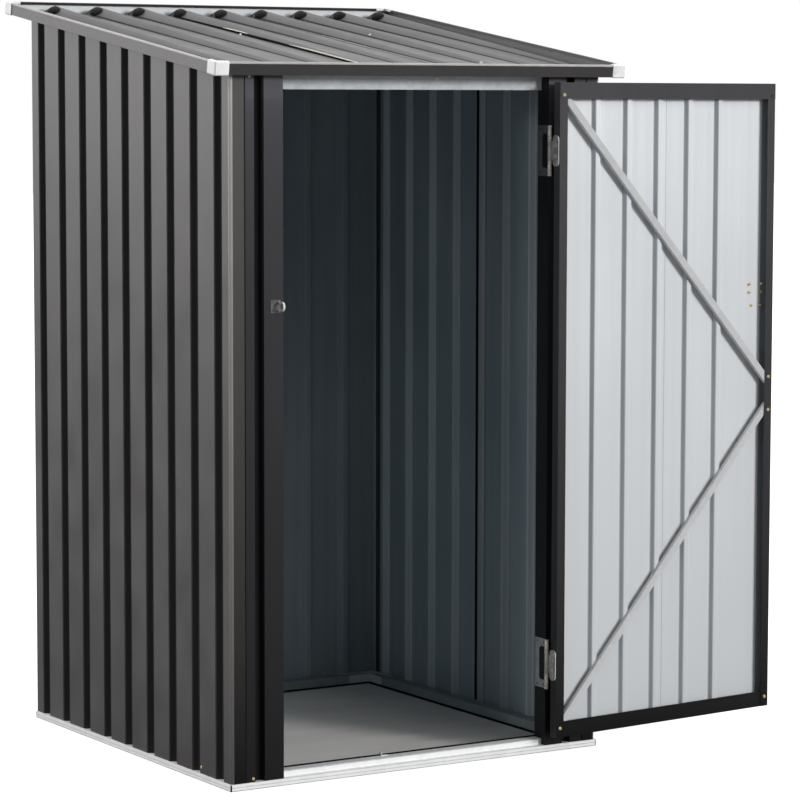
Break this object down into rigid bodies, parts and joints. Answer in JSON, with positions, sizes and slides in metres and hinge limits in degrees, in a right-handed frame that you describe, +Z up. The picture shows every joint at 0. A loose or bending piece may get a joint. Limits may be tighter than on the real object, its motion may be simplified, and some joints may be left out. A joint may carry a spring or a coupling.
{
  "type": "metal storage shed",
  "caption": "Small lean-to storage shed of ribbed sheet steel with a single roof slope, folded base rails and one framed, braced hinged door.",
  "frame": {"origin": "centre of the footprint, on the ground", "axes": "+Z up, front with the doorway facing -Y, +X to the right seen from the front"},
  "size_m": [1.5921, 1.0953, 1.7861],
  "materials": {
    "wall_paint": "satin coil-coated anthracite",
    "base_galvanised": "pale galvanised",
    "frame_galvanised": "galvanised",
    "roof_paint": "satin coil-coated grey",
    "trim_paint": "satin coil-coated anthracite",
    "floor": "matt grey",
    "cap_plastic": "white moulded",
    "door_paint": "pale grey back coat",
    "door_frame_paint": "satin coil-coated anthracite",
    "brace_galvanised": "pale galvanised",
    "plug_plastic": "black moulded",
    "hardware_zinc": "zinc plated"
  },
  "bodies": {
    "shed": {"base_rail_front": "base_galvanised", "base_rail_back": "base_galvanised", "base_rail_left": "base_galvanised", "base_rail_right": "base_galvanised", "floor_panel": "floor", "left_wall_front_sheet": "wall_paint", "left_wall_back_sheet": "wall_paint", "right_wall_front_sheet": "wall_paint", "right_wall_back_sheet": "wall_paint", "back_wall_left_sheet": "wall_paint", "back_wall_middle_sheet": "wall_paint", "back_wall_right_sheet": "wall_paint", "front_left_panel": "wall_paint", "front_right_panel": "wall_paint", "left_door_jamb": "wall_paint", "right_door_jamb": "wall_paint", "door_header": "frame_galvanised", "top_rail_left": "frame_galvanised", "top_rail_right": "frame_galvanised", "top_rail_back": "frame_galvanised", "roof_beam": "frame_galvanised", "roof_sheet_left": "roof_paint", "roof_sheet_middle": "roof_paint", "roof_sheet_right": "roof_paint", "roof_trim_front": "trim_paint", "roof_trim_back": "trim_paint", "roof_trim_left": "trim_paint", "roof_trim_right": "trim_paint", "roof_corner_caps": "cap_plastic", "roof_rib_plugs": "plug_plastic", "lock_staple": "hardware_zinc", "upper_hinge_jamb_leaf": "hardware_zinc", "lower_hinge_jamb_leaf": "hardware_zinc"},
    "door": {"door_sheet_hinge_side": "door_paint", "door_sheet_latch_side": "door_paint", "door_stile_hinge": "door_frame_paint", "door_stile_latch": "door_frame_paint", "door_rail_top": "door_frame_paint", "door_rail_bottom": "door_frame_paint", "door_brace_upper": "brace_galvanised", "door_brace_lower": "brace_galvanised", "upper_hinge_door_leaf": "hardware_zinc", "lower_hinge_door_leaf": "hardware_zinc", "door_latch": "hardware_zinc"}
  },
  "joints": [
    {"name": "door_swing", "type": "hinge", "parent": "shed", "child": "door", "pos_m": [0.3495, -0.516, 0.8], "axis": [0, 0, 1], "range_deg": [-185.4, 0]}
  ]
}
